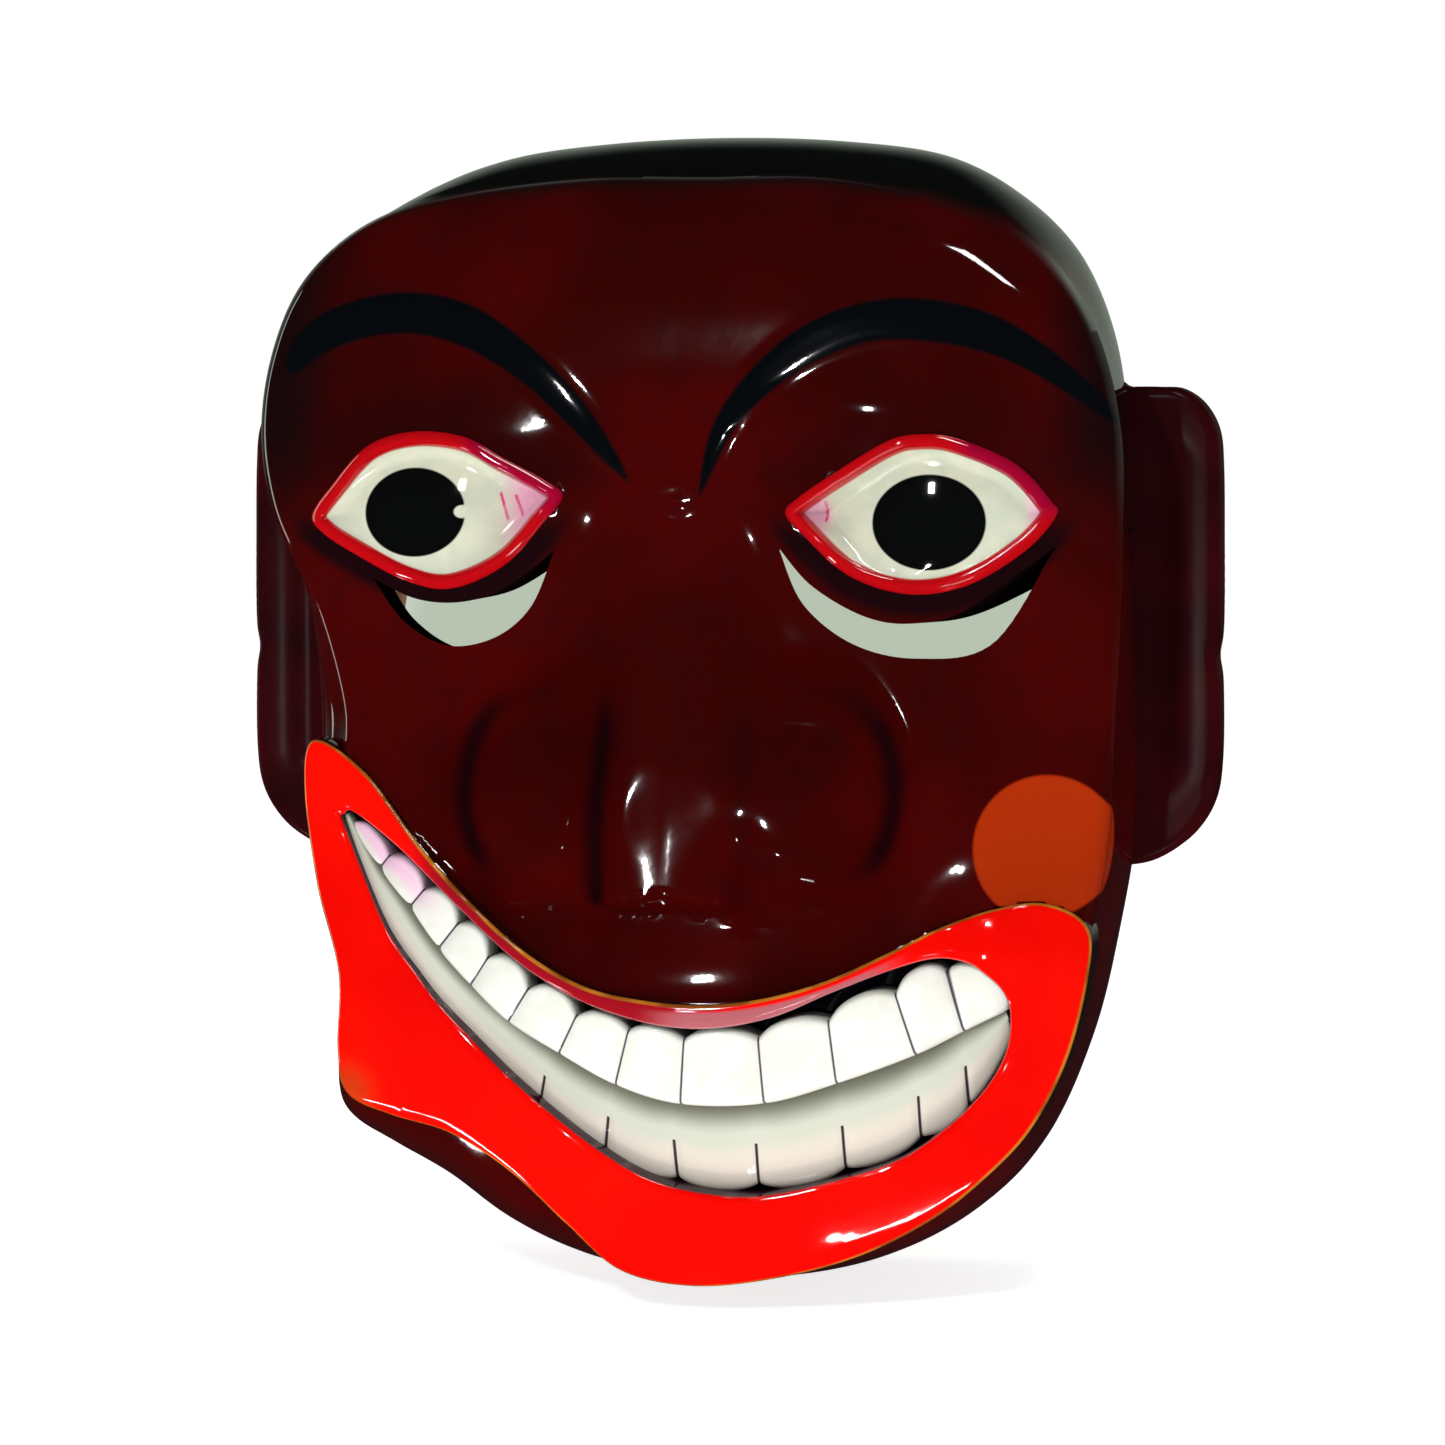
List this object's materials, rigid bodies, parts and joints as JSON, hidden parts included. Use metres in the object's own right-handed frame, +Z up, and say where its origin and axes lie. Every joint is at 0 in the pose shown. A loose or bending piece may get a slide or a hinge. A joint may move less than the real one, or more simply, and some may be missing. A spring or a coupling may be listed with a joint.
{
  "type": "carved wooden face mask",
  "caption": "Carved and lacquered wooden face mask with a crooked toothy grin, inlaid eyes, viewing slits, slab ears and a ring to hang it by.",
  "frame": {"origin": "where the nail under the hanging ring leaves the wall: on the back rim's plane, level with the inside top of the ring", "axes": "+X to the viewer's right, +Y to the back of the mask and into the wall, +Z up"},
  "size_m": [0.21, 0.0927, 0.241],
  "materials": {
    "lacquered_wood": "high gloss dark red-brown lacquer over light carved wood, red lips, black brows",
    "bare_wood": "bare light wood",
    "eye_enamel": "wood painted with ivory gloss enamel, red rim and black pupil",
    "tooth_enamel": "wood painted with ivory gloss enamel",
    "hanger_steel": "zinc plated steel"
  },
  "bodies": {
    "mask": {"face_shell": "lacquered_wood", "ear_left": "lacquered_wood", "ear_right": "lacquered_wood", "ear_pegs_left": "bare_wood", "ear_pegs_right": "bare_wood", "eye_left": "eye_enamel", "eye_right": "eye_enamel", "upper_teeth": "tooth_enamel", "lower_teeth": "tooth_enamel", "hanger_strap": "hanger_steel", "hanger_screw": "hanger_steel"},
    "ring": {"hanger_ring": "hanger_steel"}
  },
  "joints": [
    {"name": "ring_swing", "type": "hinge", "parent": "mask", "child": "ring", "pos_m": [0, -0.00449, -0.007], "axis": [-1, 0, 0], "range_deg": [0, 165]}
  ]
}
